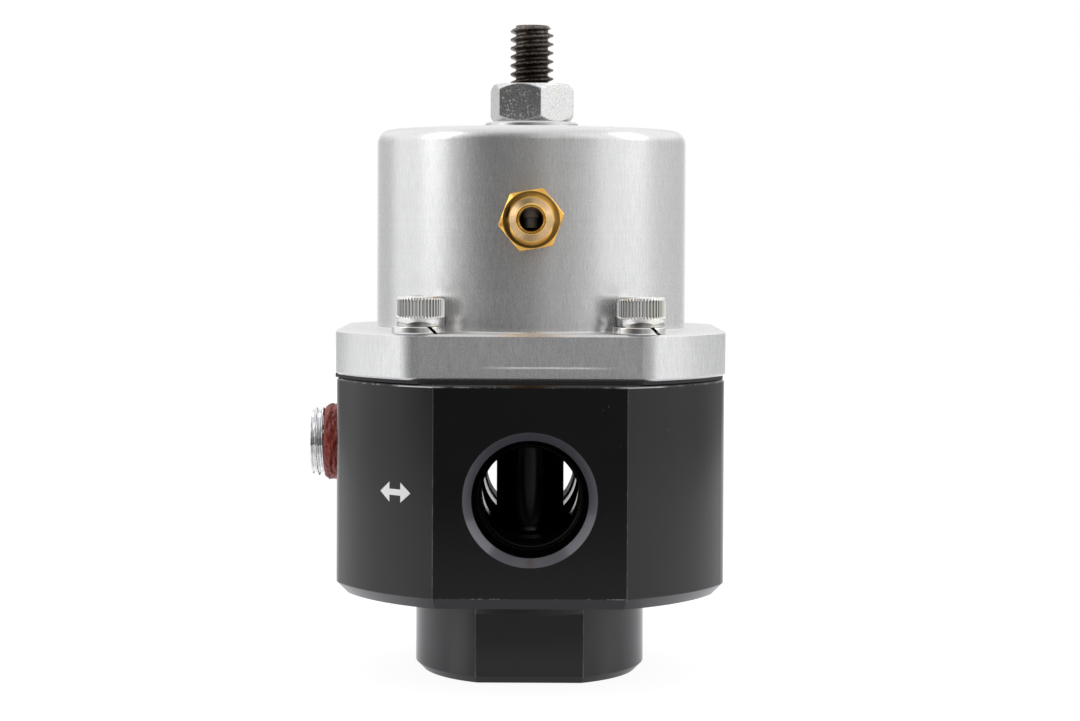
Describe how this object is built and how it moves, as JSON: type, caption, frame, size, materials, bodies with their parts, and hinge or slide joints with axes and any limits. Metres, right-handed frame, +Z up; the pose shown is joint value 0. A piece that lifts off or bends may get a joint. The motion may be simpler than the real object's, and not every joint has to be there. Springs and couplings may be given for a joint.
{
  "type": "fuel pressure regulator",
  "caption": "Return-style fuel pressure regulator: round black fuel block with in and out ports, return port below, spring bonnet with a vacuum barb and an adjusting screw on top.",
  "frame": {"origin": "centre of the return port's mouth, on the bottom face", "axes": "+Z up along the turning axis, -Y out of the front in/out port, -X out of the gauge port"},
  "size_m": [0.0599, 0.0633, 0.0943],
  "materials": {
    "black_anodised": "satin black anodised",
    "clear_anodised": "satin clear anodised, turned",
    "inner_aluminium": "machined",
    "rubber": "matt black",
    "diaphragm_fabric": "fabric reinforced",
    "stainless": "ground",
    "spring_steel": "wound wire",
    "zinc_plate": "bright zinc plated",
    "zinc_nut": "bright zinc plated, mottled",
    "washer_steel": "satin",
    "black_oxide": "black oxide",
    "brass": "turned",
    "sealant": "dried thread sealant"
  },
  "bodies": {
    "housing": {"body": "black_anodised", "return_port_housing": "black_anodised", "housing_o_ring": "rubber", "valve_seat": "stainless", "diaphragm": "diaphragm_fabric", "bonnet": "clear_anodised", "cap_screws": "zinc_plate", "lock_washers": "zinc_plate", "vacuum_fitting": "brass", "gauge_port_plug": "zinc_plate", "plug_sealant": "sealant"},
    "valve_stack": {"valve_ball": "stainless", "lower_diaphragm_plate": "inner_aluminium", "upper_diaphragm_plate": "zinc_plate", "diaphragm_nut": "zinc_plate", "main_spring": "spring_steel"},
    "spring_seat": {"spring_button": "inner_aluminium"},
    "adjuster": {"adjusting_screw": "black_oxide"},
    "thread_seal": {"sealing_washer": "washer_steel"},
    "nut": {"lock_nut": "zinc_nut"}
  },
  "joints": [
    {"name": "adjuster_slide", "type": "slide", "parent": "housing", "child": "spring_seat", "axis": [0, 0, -1], "range_m": [-0.0038, 0.0057], "deforming": ["main_spring"]},
    {"name": "adjuster_turn", "type": "hinge", "parent": "spring_seat", "child": "adjuster", "pos_m": [0, 0, 0.0689], "axis": [0, 0, -1], "range_deg": [-1080, 1620]},
    {"name": "nut_lift", "type": "slide", "parent": "housing", "child": "thread_seal", "axis": [0, 0, 1], "range_m": [0, 0.0025]},
    {"name": "nut_turn", "type": "hinge", "parent": "thread_seal", "child": "nut", "pos_m": [0, 0, 0.0801], "axis": [0, 0, 1], "range_deg": [0, 720]},
    {"name": "valve_lift", "type": "slide", "parent": "housing", "child": "valve_stack", "axis": [0, 0, 1], "range_m": [0, 0.001], "stiffness_N_per_m": 400, "deforming": ["diaphragm"]}
  ],
  "couplings": [
    {"joint": "adjuster_turn", "follows": "adjuster_slide", "rad_per_m": 4947.4},
    {"joint": "nut_turn", "follows": "nut_lift", "rad_per_m": 4947.4}
  ]
}
